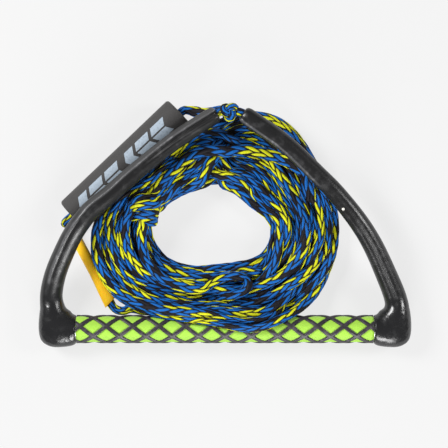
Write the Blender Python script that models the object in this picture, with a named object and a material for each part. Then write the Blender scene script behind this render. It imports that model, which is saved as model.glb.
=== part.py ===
"""Water-ski tow rope handle, lying flat with its line coiled.

The bar runs along X, the arms reach towards +Y and the floor is Z = 0. All sizes are metres.
A bridle rope runs from the knot down one moulded arm, through the bar and up the other arm.
The tow line starts at the knot, passes a foam float and a plastic sleeve, and ends in a coil
that lies over the bar and under the arms.
"""
import math

import bmesh
import bpy
from mathutils import Vector

# Rope
ROPE = 0.0085
BORE_SPARE = 0.0011
GAP = 0.0003

# Bar: a tube with a foam grip, raised ribs on the grip and a bush in each end
TUBE_OUTER = 0.022
TUBE_WALL = 0.0016
TUBE_PAST_GRIP = 0.008
BUSH_SHANK = 0.012
BUSH_FLANGE = 0.002
BUSH_FLARE = 0.0022
GRIP_WALL = 0.0021
GRIP_OUTER = TUBE_OUTER + 2 * GRIP_WALL
GRIP_EDGE = 0.0008
RIB_THICKNESS = 0.0008
RIB_GAP = 0.0004
RIB_WIDTH = 0.0040
DIAMOND_LENGTH = 0.027
DIAMONDS_AROUND = 4
TOUCHING = 0.00001

# Moulded arms; collar, elbow and foot keep their thickness round the grip
HANDLE_WIDTH = 0.381
ARM_REACH = 0.220
ARM_HALF_WIDTH = 0.0125
ARM_HALF_HEIGHT = 0.0112
TIP_HALF_WIDTH = 0.0093
TIP_ROUNDING = 0.005
TIP_PINCH = 0.004
TIP_EDGE = 0.0012
TAPERED_SHARE = 2 / 3
TAPER_CURVE = 0.6
ELBOW_RADIUS = 0.022
ELBOW_BACK = 0.0175
ELBOW_SQUARENESS = 6
WEB_DEPTHS = [0.0150, 0.0162, 0.0172, 0.0176, 0.0172, 0.0160, 0.0140]
COLLAR_LENGTH = 0.003
COLLAR_RADIUS = GRIP_OUTER / 2 + 0.0019
ELBOW_HALF_HEIGHT = GRIP_OUTER / 2 + 0.0021
FOOT_FLATTENING = 0.0021
BAR_Y = -0.1046
BAR_Z = GRIP_OUTER / 2 + 0.0024
ELBOW_START = HANDLE_WIDTH / 2 - ARM_HALF_WIDTH - ELBOW_RADIUS
GRIP_LENGTH = 2 * (ELBOW_START - COLLAR_LENGTH)
TUBE_END = GRIP_LENGTH / 2 + TUBE_PAST_GRIP

# What is on the line
FLOAT_OUTER = 0.037
FLOAT_LENGTH = 0.1527
FLOAT_EDGE = 0.003
FLOAT_BORE = ROPE + 0.0019
SLEEVE_WALL = 0.0009
SLEEVE_SPARE = 0.0009
SLEEVE_OUTER = ROPE + SLEEVE_SPARE + 2 * SLEEVE_WALL
SLEEVE_LENGTH = 0.0836

# Centre lines above the elbows, from the elbow to the tip; the soft arms don't match exactly.
# They are drawn for this width, reach and height, stretch with the handle and clear the float.
DRAWN_WIDTH = 0.381
DRAWN_REACH = 0.220
DRAWN_HEIGHT = 0.0470
ARM_HEIGHT = FLOAT_OUTER + TIP_HALF_WIDTH + 0.0007
LEFT_ARM = [
    (-0.1785, -0.0677, 0.0200), (-0.1733, -0.0467, 0.0265), (-0.1646, -0.0270, 0.0340),
    (-0.1556, -0.0092, 0.0410), (-0.1464, 0.0043, 0.0462), (-0.1338, 0.0194, 0.0478),
    (-0.1152, 0.0340, 0.0478), (-0.0924, 0.0546, 0.0475), (-0.0583, 0.0822, 0.0470),
    (-0.0374, 0.0969, 0.0470), (-0.0076, 0.1154, 0.0470),
]
RIGHT_ARM = [
    (0.1739, -0.0682, 0.0200), (0.1644, -0.0466, 0.0260), (0.1507, -0.0181, 0.0350),
    (0.1337, 0.0082, 0.0430), (0.1109, 0.0360, 0.0465), (0.0968, 0.0502, 0.0470),
    (0.0718, 0.0749, 0.0470), (0.0551, 0.0893, 0.0470), (0.0344, 0.1038, 0.0470),
    (0.0176, 0.1154, 0.0470),
]
KNOT_RADII = (0.0067, 0.0088, 0.0085)
KNOT_CENTRE = Vector((0.0045, BAR_Y + ARM_REACH + 0.0016, ARM_HEIGHT - 0.0002))
KNOT_LEAD = 0.002

# The tow line from the knot to the float, from the float to the sleeve, and on to the coil.
FLOAT_START = Vector((-0.0461, 0.1177, FLOAT_OUTER / 2))
FLOAT_HEADING = Vector((-0.7236, -0.6902, 0.0))
SLEEVE_START = Vector((-0.1580, -0.0040, SLEEVE_OUTER / 2))
SLEEVE_HEADING = Vector((0.4700, -0.8827, 0.0))
KNOT_TO_FLOAT = [
    (-0.0005, 0.1240, 0.0375), (-0.0050, 0.1255, 0.0335), (-0.0120, 0.1255, 0.0288),
    (-0.0215, 0.1247, 0.0240), (-0.0310, 0.1243, 0.0205), (-0.0395, 0.1225, 0.0189),
]
FLOAT_TO_SLEEVE = [
    (-0.1618, 0.0077, 0.0180), (-0.1648, 0.0045, 0.0150), (-0.1640, 0.0037, 0.0108),
    (-0.1617, 0.0027, 0.0071),
]
SLEEVE_TO_COIL = [
    (-0.1163, -0.0820, 0.0057), (-0.1110, -0.0857, 0.0070), (-0.1040, -0.0861, 0.0098),
    (-0.0965, -0.0835, 0.0130),
]

# The coil: at each spoke its inner and outer radius, the height of the middle of its section,
# half the section's thickness, and how far its outer edge stands above the middle.
COIL_CENTRE = Vector((-0.012, 0.0015, 0.0))
COIL_SPOKES = [
    (0.048, 0.126, 0.0180, 0.0168, 0.0020),
    (0.038, 0.127, 0.0174, 0.0170, 0.0000),
    (0.038, 0.122, 0.0174, 0.0170, 0.0000),
    (0.040, 0.105, 0.0174, 0.0170, 0.0000),
    (0.043, 0.089, 0.0174, 0.0170, 0.0000),
    (0.052, 0.089, 0.0174, 0.0170, 0.0000),
    (0.065, 0.119, 0.0180, 0.0168, 0.0020),
    (0.060, 0.125, 0.0220, 0.0165, 0.0090),
    (0.048, 0.110, 0.0265, 0.0160, 0.0165),
    (0.044, 0.104, 0.0285, 0.0160, 0.0180),
    (0.047, 0.117, 0.0270, 0.0160, 0.0165),
    (0.058, 0.128, 0.0215, 0.0165, 0.0085),
]
COIL_STEPS = 48
COIL_SECTION_SIDES = 14

ARM_SIDES = 20
ROUND_SIDES = 32
SMALL_ROUND_SIDES = 24
RIB_GRID_STEPS = math.ceil(GRIP_OUTER / 0.0135)
SHARP_ANGLE = math.radians(35)


def clear_scene():
    for item in list(bpy.data.objects):
        bpy.data.objects.remove(item, do_unlink=True)


def material(name, colour, roughness, metallic=0.0):
    made = bpy.data.materials.new(name)
    made.use_nodes = True
    shader = made.node_tree.nodes["Principled BSDF"]
    shader.inputs["Base Color"].default_value = (*colour, 1.0)
    shader.inputs["Roughness"].default_value = roughness
    shader.inputs["Metallic"].default_value = metallic
    return made


def add_object(name, data, finish):
    data.materials.append(finish)
    item = bpy.data.objects.new(name, data)
    bpy.context.scene.collection.objects.link(item)
    return item


def skin(name, rings, finish):
    """Skins equal rings of points, the last ring joined to the first."""
    shape = bmesh.new()
    loops = [[shape.verts.new(point) for point in ring] for ring in rings]
    for first, second in zip(loops, [*loops[1:], loops[0]]):
        for i in range(len(first)):
            j = (i + 1) % len(first)
            shape.faces.new((first[i], first[j], second[j], second[i]))
    bmesh.ops.recalc_face_normals(shape, faces=shape.faces)
    bmesh.ops.triangulate(shape, faces=shape.faces)
    mesh = bpy.data.meshes.new(name)
    shape.to_mesh(mesh)
    shape.free()
    mesh.shade_smooth()
    mesh.set_sharp_from_angle(angle=SHARP_ANGLE)
    return add_object(name, mesh, finish)


def circle(centre, across, up, radius, sides):
    step = 2 * math.pi / sides
    return [
        centre + radius * (math.cos((i + 0.5) * step) * across + math.sin((i + 0.5) * step) * up)
        for i in range(sides)
    ]


def turned(name, start, heading, profile, finish, sides=ROUND_SIDES):
    """Turns a closed profile of (distance along the heading, radius) into a ring-shaped solid."""
    across = heading.cross(Vector((0, 0, 1))).normalized()
    up = across.cross(heading)
    rings = [circle(start + along * heading, across, up, radius, sides) for along, radius in profile]
    return skin(name, rings, finish)


def smooth_path(points, steps):
    """Points on a smooth curve through the given ones, with the same number of steps between each two."""
    points = [Vector(point) for point in points]
    ends = [2 * points[0] - points[1], *points, 2 * points[-1] - points[-2]]
    path = []
    for before, start, end, after in zip(ends, ends[1:], ends[2:], ends[3:]):
        for i in range(steps):
            t = i / steps
            pull_start = (end - before) / 2
            pull_end = (after - start) / 2
            path.append(
                (2 * t**3 - 3 * t**2 + 1) * start
                + (t**3 - 2 * t**2 + t) * pull_start
                + (3 * t**2 - 2 * t**3) * end
                + (t**3 - t**2) * pull_end
            )
    path.append(points[-1])
    return path


def rope(name, path, finish):
    data = bpy.data.curves.new(name, "CURVE")
    data.dimensions = "3D"
    data.bevel_depth = ROPE / 2
    data.bevel_resolution = 3
    data.use_fill_caps = True
    spline = data.splines.new("POLY")
    spline.points.add(len(path) - 1)
    for knot, place in zip(spline.points, path):
        knot.co = (*place, 1.0)
    return add_object(name, data, finish)


def make_bar_tube():
    aluminium = material("anodised_tube", (0.62, 0.63, 0.65), 0.35, 1.0)
    outer = TUBE_OUTER / 2
    inner = outer - TUBE_WALL
    length = 2 * TUBE_END
    profile = [(0, outer), (length, outer), (length, inner), (0, inner)]
    turned("bar_tube", Vector((-TUBE_END, BAR_Y, BAR_Z)), Vector((1, 0, 0)), profile, aluminium)


def make_tube_bushes():
    """A flared nylon bush in each tube end, which the bridle rope bends over."""
    nylon = material("nylon_bush", (0.85, 0.84, 0.8), 0.5)
    shank = TUBE_OUTER / 2 - TUBE_WALL - GAP
    flange = TUBE_OUTER / 2 - GAP
    bore = (ROPE + BORE_SPARE) / 2
    for side, name in ((-1, "tube_bush_left"), (1, "tube_bush_right")):
        profile = [
            (-BUSH_SHANK, shank), (GAP, shank), (GAP, flange), (BUSH_FLANGE, flange),
            (BUSH_FLANGE, bore + BUSH_FLARE), (-BUSH_SHANK / 2, bore), (-BUSH_SHANK, bore),
        ]
        start = Vector((side * TUBE_END, BAR_Y, BAR_Z))
        turned(name, start, Vector((side, 0, 0)), profile, nylon, sides=SMALL_ROUND_SIDES)


def make_grip_sleeve():
    foam = material("lime_grip", (0.36, 0.72, 0.10), 0.7)
    outer = GRIP_OUTER / 2
    inner = TUBE_OUTER / 2 + GAP
    length = GRIP_LENGTH - 2 * GAP
    profile = [
        (0, outer - GRIP_EDGE), (GRIP_EDGE, outer), (length - GRIP_EDGE, outer),
        (length, outer - GRIP_EDGE), (length, inner), (0, inner),
    ]
    turned("grip_sleeve", Vector((-length / 2, BAR_Y, BAR_Z)), Vector((1, 0, 0)), profile, foam)


def rib_marks(count, half, steps):
    """Grid lines for ribs centred on whole numbers: both edges of each rib and even steps between ribs."""
    marks = []
    for k in range(-count, count + 1):
        marks.append((k - half, True))
        marks += [(k + half + (1 - 2 * half) * i / steps, False) for i in range(steps)]
    return marks


def make_grip_lattice():
    """Raised ribs that cross in diamonds round the grip, in one net cut off square at both ends."""
    rubber = material("grip_rib", (0.045, 0.04, 0.047), 0.55)
    radius = GRIP_OUTER / 2 + RIB_GAP + RIB_THICKNESS
    around = 2 * math.pi * radius / DIAMONDS_AROUND
    diagonal = math.hypot(DIAMOND_LENGTH, around)
    half = RIB_WIDTH * diagonal / (2 * DIAMOND_LENGTH * around)
    marks = rib_marks(math.ceil(GRIP_LENGTH / DIAMOND_LENGTH) + DIAMONDS_AROUND, half, RIB_GRID_STEPS)

    def place(p, q):
        turn = math.pi * (p + q) / DIAMONDS_AROUND
        along = DIAMOND_LENGTH * (p - q) / 2
        return Vector((along, BAR_Y + radius * math.cos(turn), BAR_Z + radius * math.sin(turn)))

    shape = bmesh.new()
    for (p0, p_rib), (p1, _) in zip(marks, marks[1:]):
        for (q0, q_rib), (q1, _) in zip(marks, marks[1:]):
            middle = round((p0 + p1 + q0 + q1) / 2, 6)
            once_round = 0 <= middle < 2 * DIAMONDS_AROUND
            near = abs(p0 + p1 - q0 - q1) / 2 * DIAMOND_LENGTH < GRIP_LENGTH + 2 * DIAMOND_LENGTH
            if (p_rib or q_rib) and once_round and near:
                corners = [place(p0, q0), place(p1, q0), place(p1, q1), place(p0, q1)]
                shape.faces.new([shape.verts.new(corner) for corner in corners])
    bmesh.ops.remove_doubles(shape, verts=shape.verts, dist=TOUCHING)
    end = GRIP_LENGTH / 2 - GAP
    for side in (-1, 1):
        whole = shape.verts[:] + shape.edges[:] + shape.faces[:]
        bmesh.ops.bisect_plane(
            shape, geom=whole, plane_co=(side * end, 0, 0), plane_no=(side, 0, 0), clear_outer=True
        )
    bmesh.ops.recalc_face_normals(shape, faces=shape.faces)
    outward = sum(
        face.normal.dot(face.calc_center_median() - Vector((face.calc_center_median().x, BAR_Y, BAR_Z)))
        for face in shape.faces
    )
    if outward < 0:
        bmesh.ops.reverse_faces(shape, faces=shape.faces)
    mesh = bpy.data.meshes.new("grip_lattice")
    shape.to_mesh(mesh)
    shape.free()
    net = add_object("grip_lattice", mesh, rubber)
    wall = net.modifiers.new("wall", "SOLIDIFY")
    wall.thickness = RIB_THICKNESS
    wall.offset = -1


def elbow_places(side):
    """(place, heading, turned angle) round the elbow, from the bar's line to the foot of the arm."""
    places = []
    steps = len(WEB_DEPTHS) - 1
    for i in range(steps + 1):
        angle = math.pi / 2 * i / steps
        place = Vector((
            side * (ELBOW_START + ELBOW_RADIUS * math.sin(angle)),
            BAR_Y + ELBOW_RADIUS * (1 - math.cos(angle)),
            BAR_Z,
        ))
        places.append((place, Vector((side * math.cos(angle), math.sin(angle), 0)), angle))
    return places


def corner_depth(angle):
    """From the elbow's centre line out to its squared corner, at this much of the turn."""
    n = ELBOW_SQUARENESS
    to_side = math.sin(angle) / (ELBOW_RADIUS + ARM_HALF_WIDTH)
    to_back = math.cos(angle) / (ELBOW_RADIUS + ELBOW_BACK)
    return (to_side**n + to_back**n) ** (-1 / n) - ELBOW_RADIUS


def arm_path(route, side):
    """The arm's centre line above the elbow, stretched to the handle's width, reach and height."""
    elbow_top = elbow_places(side)[-1][0]
    wider = HANDLE_WIDTH / DRAWN_WIDTH
    longer = ARM_REACH / DRAWN_REACH
    higher = ARM_HEIGHT / DRAWN_HEIGHT
    points = [(x * wider, BAR_Y + (y - BAR_Y) * longer, z * higher) for x, y, z in route]
    return smooth_path([elbow_top, *points], 2)[1:]


def arm_headings(start, path):
    """The arm's direction at each point, and the length of the step up to it."""
    lines = [b - a for a, b in zip([start, *path], path)]
    headings = [(a + b).normalized() for a, b in zip(lines, [*lines[1:], lines[-1]])]
    return headings, [line.length for line in lines]


def arm_section(place, heading, side, outward, inward, above, below):
    """A ring with its own outer, inner, upper and lower half-widths, cut flat at the floor."""
    up = Vector((0, 0, 1))
    out = heading.cross(up).normalized() * side
    ring = []
    for i in range(ARM_SIDES):
        angle = 2 * math.pi * (i + 0.5) / ARM_SIDES
        across = math.cos(angle)
        rise = math.sin(angle)
        point = place + out * across * (outward if across > 0 else inward)
        point += up * rise * (above if rise > 0 else below)
        point.z = max(point.z, 0.0)
        ring.append(point)
    return ring


def arm_skin(elbow, path, mouth, side):
    """The arm's outer rings, from the collar's mouth round the squared elbow to the rounded tip."""
    rings = [arm_section(
        mouth, elbow[0][1], side, COLLAR_RADIUS, COLLAR_RADIUS, ELBOW_HALF_HEIGHT, ELBOW_HALF_HEIGHT
    )]
    foot = BAR_Z + FOOT_FLATTENING
    for (place, heading, angle), web in zip(elbow, WEB_DEPTHS):
        depth = corner_depth(angle)
        rings.append(arm_section(place, heading, side, depth, web, ELBOW_HALF_HEIGHT, foot))
    headings, steps = arm_headings(elbow[-1][0], path)
    for i, place in enumerate(path):
        passed = sum(steps[: i + 1]) / sum(steps)
        left = sum(steps[i + 1:])
        taper = min(1, passed / TAPERED_SHARE) ** TAPER_CURVE
        width = ARM_HALF_WIDTH + (TIP_HALF_WIDTH - ARM_HALF_WIDTH) * taper
        if left < TIP_ROUNDING:
            width -= TIP_PINCH * (1 - left / TIP_ROUNDING)
        height = min(width, ARM_HALF_HEIGHT)
        rings.append(arm_section(place, headings[i], side, width, width, height, height))
        if i == len(path) - 2:
            for before_end, loss in ((TIP_ROUNDING, 0.0), (TIP_EDGE, TIP_EDGE)):
                spot = path[-1] - headings[-1] * before_end
                kept = TIP_HALF_WIDTH - loss
                rings.append(arm_section(spot, headings[-1], side, kept, kept, kept, kept))
    return rings


def arm_bore(elbow, path, mouth, side):
    """The rope's bore from the tip back to the elbow, then the socket that holds the tube's end."""
    up = Vector((0, 0, 1))
    bore = (ROPE + BORE_SPARE) / 2
    headings, _ = arm_headings(elbow[-1][0], path)
    rings = []
    for place, heading in zip(reversed(path), reversed(headings)):
        across = heading.cross(up).normalized()
        rings.append(circle(place, across * side, across.cross(heading), bore, ARM_SIDES))
    socket_end = TUBE_END + BUSH_FLANGE + GAP
    lean = math.asin((socket_end - ELBOW_START) / ELBOW_RADIUS)
    for place, heading, angle in reversed(elbow):
        if angle > lean + BORE_SPARE / ELBOW_RADIUS:
            rings.append(circle(place, heading.cross(up) * side, up, bore, ARM_SIDES))
    rope_y = BAR_Y + ELBOW_RADIUS * (1 - math.cos(lean))
    back = Vector((0, -1, 0))
    socket = TUBE_OUTER / 2 + GAP
    for place, radius in (
        (Vector((side * socket_end, rope_y, BAR_Z)), bore / math.cos(lean)),
        (Vector((side * socket_end, BAR_Y, BAR_Z)), socket),
        (mouth, socket),
    ):
        rings.append(circle(place, back, up, radius, ARM_SIDES))
    return rings


def make_arm(name, route, side):
    """One soft moulding: a collar on the bar's end, a squared elbow and a long tapering arm."""
    moulding = material("black_moulding", (0.035, 0.035, 0.037), 0.38)
    elbow = elbow_places(side)
    path = arm_path(route, side)
    mouth = Vector((side * GRIP_LENGTH / 2, BAR_Y, BAR_Z))
    skin(name, arm_skin(elbow, path, mouth, side) + arm_bore(elbow, path, mouth, side), moulding)


def make_bridle_rope():
    """The rope that carries the pull: out of the knot, through arm, bar and arm, and back to the knot."""
    braid = material("bridle_braid", (0.07, 0.17, 0.38), 0.75)
    halves = []
    for route, side in ((LEFT_ARM, -1), (RIGHT_ARM, 1)):
        arm = arm_path(route, side)
        knot_side = KNOT_CENTRE + Vector((side * (KNOT_RADII[0] + GAP), 0, 0))
        lead_in = knot_side + Vector((side * KNOT_LEAD, 0, 0))
        elbow = [place for place, _, _ in elbow_places(side)]
        halves.append([knot_side, lead_in, *reversed(arm), *reversed(elbow)])
    rope("bridle_rope", halves[0] + list(reversed(halves[1])), braid)


def make_knot():
    """The hitch that joins line and bridle: a closed egg-shaped knot."""
    braid = material("knot_braid", (0.35, 0.42, 0.16), 0.75)
    bpy.ops.mesh.primitive_uv_sphere_add(segments=20, ring_count=12, radius=1.0)
    knot = bpy.context.object
    knot.name = "bridle_knot"
    knot.data.name = "bridle_knot"
    for point in knot.data.vertices:
        point.co = Vector(size * part for size, part in zip(KNOT_RADII, point.co))
    knot.location = KNOT_CENTRE
    knot.data.materials.append(braid)
    knot.data.shade_smooth()


def make_tow_line():
    """The free line between knot and coil; it runs straight through the float and the sleeve."""
    braid = material("line_braid", (0.05, 0.16, 0.42), 0.75)
    float_end = FLOAT_START + FLOAT_LENGTH * FLOAT_HEADING
    sleeve_end = SLEEVE_START + SLEEVE_LENGTH * SLEEVE_HEADING
    route = [Vector(point) for point in KNOT_TO_FLOAT]
    route += [FLOAT_START + FLOAT_LENGTH * share * FLOAT_HEADING for share in (0, 0.25, 0.5, 0.75)]
    route += [float_end, *FLOAT_TO_SLEEVE]
    route += [SLEEVE_START + SLEEVE_LENGTH * share * SLEEVE_HEADING for share in (0, 0.2, 0.6)]
    route += [sleeve_end, *SLEEVE_TO_COIL]
    rope("tow_line", smooth_path(route, 2), braid)


def make_float():
    foam = material("charcoal_foam", (0.075, 0.07, 0.07), 0.85)
    outer = FLOAT_OUTER / 2
    bore = FLOAT_BORE / 2
    edge = FLOAT_EDGE
    soft = edge * (1 - math.sqrt(0.5))
    end = FLOAT_LENGTH
    profile = [
        (0, outer - edge), (soft, outer - soft), (edge, outer),
        (end - edge, outer), (end - soft, outer - soft), (end, outer - edge),
        (end, bore), (0, bore),
    ]
    turned("rope_float", FLOAT_START, FLOAT_HEADING, profile, foam)


def make_line_sleeve():
    vinyl = material("yellow_vinyl", (0.95, 0.55, 0.03), 0.35)
    outer = SLEEVE_OUTER / 2
    inner = outer - SLEEVE_WALL
    profile = [(0, outer), (SLEEVE_LENGTH, outer), (SLEEVE_LENGTH, inner), (0, inner)]
    turned("line_sleeve", SLEEVE_START, SLEEVE_HEADING, profile, vinyl, sides=SMALL_ROUND_SIDES)


def spoke_values(turn):
    """The coil's section between its spokes, smooth all the way round; turn runs from 0 to 1."""
    count = len(COIL_SPOKES)
    place = turn * count
    first = math.floor(place)
    t = place - first
    before, start, end, after = (COIL_SPOKES[(first + i) % count] for i in (-1, 0, 1, 2))
    return [
        (2 * t**3 - 3 * t**2 + 1) * b
        + (t**3 - 2 * t**2 + t) * (c - a) / 2
        + (3 * t**2 - 2 * t**3) * c
        + (t**3 - t**2) * (d - b) / 2
        for a, b, c, d in zip(before, start, end, after)
    ]


def make_coil():
    """The wound line as one ring: flat on the floor under the arms, and lifted where it crosses the bar."""
    braid = material("coil_braid", (0.06, 0.16, 0.40), 0.75)
    rings = []
    for i in range(COIL_STEPS):
        turn = i / COIL_STEPS
        spoke = Vector((math.cos(2 * math.pi * turn), math.sin(2 * math.pi * turn), 0))
        inside, outside, middle, half, lift = spoke_values(turn)
        ring = []
        for j in range(COIL_SECTION_SIDES):
            angle = 2 * math.pi * (j + 0.5) / COIL_SECTION_SIDES
            reach = (inside + outside) / 2 + (outside - inside) / 2 * math.cos(angle)
            height = middle + lift * math.cos(angle) + half * math.sin(angle)
            ring.append(COIL_CENTRE + spoke * reach + Vector((0, 0, height)))
        rings.append(ring)
    skin("rope_coil", rings, braid)


def build():
    clear_scene()
    make_bar_tube()
    make_tube_bushes()
    make_grip_sleeve()
    make_grip_lattice()
    make_arm("arm_left", LEFT_ARM, -1)
    make_arm("arm_right", RIGHT_ARM, 1)
    make_bridle_rope()
    make_knot()
    make_tow_line()
    make_float()
    make_line_sleeve()
    make_coil()


build()
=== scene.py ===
import math

import bmesh
import bpy
import numpy as np
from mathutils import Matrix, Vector


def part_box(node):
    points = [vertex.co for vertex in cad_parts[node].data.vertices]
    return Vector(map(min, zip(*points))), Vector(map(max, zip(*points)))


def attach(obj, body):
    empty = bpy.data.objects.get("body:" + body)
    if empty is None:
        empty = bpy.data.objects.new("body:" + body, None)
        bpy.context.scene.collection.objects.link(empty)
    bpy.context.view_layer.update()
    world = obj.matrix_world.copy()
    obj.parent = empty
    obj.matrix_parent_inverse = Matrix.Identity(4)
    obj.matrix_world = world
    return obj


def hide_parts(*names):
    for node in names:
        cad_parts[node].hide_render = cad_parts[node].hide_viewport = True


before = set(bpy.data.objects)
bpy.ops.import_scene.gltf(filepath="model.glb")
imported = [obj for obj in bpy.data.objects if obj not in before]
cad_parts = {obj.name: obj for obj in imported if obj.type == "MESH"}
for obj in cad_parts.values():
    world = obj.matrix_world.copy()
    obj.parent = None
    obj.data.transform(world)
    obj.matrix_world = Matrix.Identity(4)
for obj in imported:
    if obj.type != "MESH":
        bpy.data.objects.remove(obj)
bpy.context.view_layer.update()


# ---------------------------------------------------------------------------
# The studio: the handle lies on a pale sheet and is seen from straight above
# through a long lens, with one large soft light from the left, a second from
# the grip's side and a weak fill from the right.
# ---------------------------------------------------------------------------
EYE_HEIGHT = 1.554
EYE_OFFSET = Vector((-0.0010, 0.0036))
LENS = 120
SHEET_SIZE = 6.0
SHEET_GREY = (0.10, 0.10, 0.10, 1.0)
SHEET_GLOW = 0.735
ROOM_GLOW = 0.14
WHITE = (1.0, 1.0, 1.0, 1.0)
KEY_LIGHT = ((-1.3, 0.7, 1.2), 0.6, 42)
GRIP_LIGHT = ((0.1, -1.4, 0.7), 0.7, 26)
FILL_LIGHT = ((1.4, 0.3, 1.0), 0.5, 16)
LIGHTS_AIM = Vector((0.0, 0.0, 0.02))


def set_camera():
    lens = bpy.data.cameras.new("overhead")
    lens.lens = LENS
    camera = bpy.data.objects.new("overhead", lens)
    bpy.context.scene.collection.objects.link(camera)
    camera.location = (EYE_OFFSET.x, EYE_OFFSET.y, EYE_HEIGHT)
    bpy.context.scene.camera = camera


def add_light(name, place, size, power):
    lamp = bpy.data.lights.new(name, "AREA")
    lamp.size = size
    lamp.energy = power
    item = bpy.data.objects.new(name, lamp)
    bpy.context.scene.collection.objects.link(item)
    item.location = place
    item.rotation_euler = (LIGHTS_AIM - Vector(place)).to_track_quat("-Z", "Y").to_euler()


def lay_sheet():
    paper = bpy.data.materials.new("studio_paper")
    paper.use_nodes = True
    shader = paper.node_tree.nodes["Principled BSDF"]
    shader.inputs["Base Color"].default_value = SHEET_GREY
    shader.inputs["Emission Color"].default_value = WHITE
    shader.inputs["Emission Strength"].default_value = SHEET_GLOW
    shader.inputs["Roughness"].default_value = 0.9
    bpy.ops.mesh.primitive_plane_add(size=SHEET_SIZE)
    sheet = bpy.context.object
    sheet.name = "studio_sheet"
    sheet.data.materials.append(paper)


def light_room():
    room = bpy.data.worlds.new("white_room")
    room.use_nodes = True
    room.node_tree.nodes["Background"].inputs["Color"].default_value = WHITE
    room.node_tree.nodes["Background"].inputs["Strength"].default_value = ROOM_GLOW
    bpy.context.scene.world = room
    bpy.context.scene.view_settings.view_transform = "Standard"


set_camera()
lay_sheet()
light_room()
add_light("key", *KEY_LIGHT)
add_light("grip_side", *GRIP_LIGHT)
add_light("fill", *FILL_LIGHT)


# ---------------------------------------------------------------------------
# The tow line: hollow braid of blue, black and yellow polyethylene yarns. It
# runs from the knot through float and sleeve, is wound into a coil over the
# bar and under the arms, ties it with its own tail and ends in a tucked eye.
# ---------------------------------------------------------------------------
LINE_DIAMETER = 0.0085
BRAID_LEAD = 0.115
CARRIERS = 8
RINGS_PER_LEAD = 44
SIDES = 2 * CARRIERS
YARN_HEIGHT = 0.0006
YARN_CREST = 0.6
TIP = 0.001
SLOW_TWISTS = ((1.1, 7.3, 0.5), (0.9, 3.1, 2.0))

FLOAT_START = Vector((-0.0461, 0.1177, 0.0185))
FLOAT_HEADING = Vector((-0.7236, -0.6902, 0.0))
FLOAT_LENGTH = 0.1527
FLOAT_CLEARANCE = 0.0190
SLEEVE_START = Vector((-0.1580, -0.0040, 0.0056))
SLEEVE_HEADING = Vector((0.4700, -0.8827, 0.0))
SLEEVE_LENGTH = 0.0836
SLEEVE_OUTER = 0.0112
KNOT_TO_FLOAT = [
    (0.0005, 0.1190, 0.0375), (-0.0050, 0.1188, 0.0330), (-0.0120, 0.1178, 0.0280),
    (-0.0215, 0.1170, 0.0238), (-0.0310, 0.1190, 0.0205), (-0.0395, 0.1205, 0.0189),
]
FLOAT_TO_SLEEVE = [
    (-0.1618, 0.0077, 0.0180), (-0.1648, 0.0045, 0.0150), (-0.1640, 0.0037, 0.0108),
    (-0.1617, 0.0027, 0.0071),
]
SLEEVE_TO_COIL = [
    (-0.1163, -0.0820, 0.0057), (-0.1110, -0.0857, 0.0070), (-0.1040, -0.0861, 0.0098),
    (-0.0965, -0.0835, 0.0130),
]
COIL_CENTRE = np.array([-0.012, 0.0015, 0.0])
COIL_SPOKES = np.array([
    (0.060, 0.128, 0.0180, 0.0168, 0.0020),
    (0.044, 0.125, 0.0174, 0.0170, 0.0000),
    (0.041, 0.130, 0.0174, 0.0170, 0.0000),
    (0.041, 0.109, 0.0174, 0.0170, 0.0000),
    (0.043, 0.088, 0.0174, 0.0170, 0.0000),
    (0.052, 0.088, 0.0174, 0.0170, 0.0000),
    (0.065, 0.122, 0.0180, 0.0168, 0.0020),
    (0.060, 0.128, 0.0220, 0.0165, 0.0090),
    (0.048, 0.113, 0.0265, 0.0160, 0.0165),
    (0.041, 0.108, 0.0285, 0.0160, 0.0180),
    (0.045, 0.128, 0.0270, 0.0160, 0.0165),
    (0.058, 0.129, 0.0215, 0.0165, 0.0085),
])
COIL_ENTRY = [(0.1195, 0.0130), (0.1135, 0.0120), (0.1060, 0.0100), (0.0995, 0.0080)]
TURNS = 25
STEPS_PER_TURN = 72
STEPS_PER_SPOKE = 24
COIL_START = math.radians(225)
LAST_STEPS = 6
FIRST_CROSSING = (75, 125)
SECOND_CROSSING = (205, 245)
SLOT_CHANGE = 0.30

SIDE_ROOM = 0.0036
TOP_ROOM = 0.004
PRESSED_SPACING = 0.0074
LOWEST_MIDDLE = LINE_DIAMETER / 2 - 0.0004
UNDER_ARMS = 0.0372
OPEN_CEILING = 0.051
BAR_MIDDLE = np.array([-0.1046, 0.0155])
BAR_RADIUS = 0.0144
OUT_OF_REACH = 1.0
SETTLING_ROUNDS = 420
PRESSING_ROUNDS = 2
SINK = 0.00022
HOMING = 0.06
STRAIGHTENING = 0.42
PRESSING = 0.30
RETURNING = 0.7
EARLY_SHARE = 0.7
LAYING_ROUNDS = 12
LAYING_SAG = 0.0004

TIE_STEP = 59
TIE_STEPS = 4
TIE_RADIUS = 0.0720
TIE_HALF = (0.0120, 0.0135)
TIE_WRAPS = 4
TIED_TURNS = 5
TIED_WITHIN = 0.42
UNTIED_BEYOND = 1.62
TIE_APPROACH = [
    (25, 0.112), (38, 0.103), (52, 0.0925), (68, 0.084), (80, 0.077), (101, 0.077),
    (112, 0.073), (124, 0.069), (141, 0.070), (155, 0.070),
]
TIE_EXIT = [(188, 0.074), (205, 0.077), (225, 0.075), (240, 0.070), (255, 0.067)]

END_LOOP = [
    (-0.0227, -0.0628), (-0.0111, -0.0552), (0.0005, -0.0510), (0.0130, -0.0500),
    (0.0215, -0.0530), (0.0238, -0.0585), (0.0205, -0.0642), (0.0130, -0.0680),
    (0.0040, -0.0705), (-0.0060, -0.0722), (-0.0170, -0.0730),
]
TUCK_DEPTH = 0.0075
LOOP_REST = 0.0062

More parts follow.
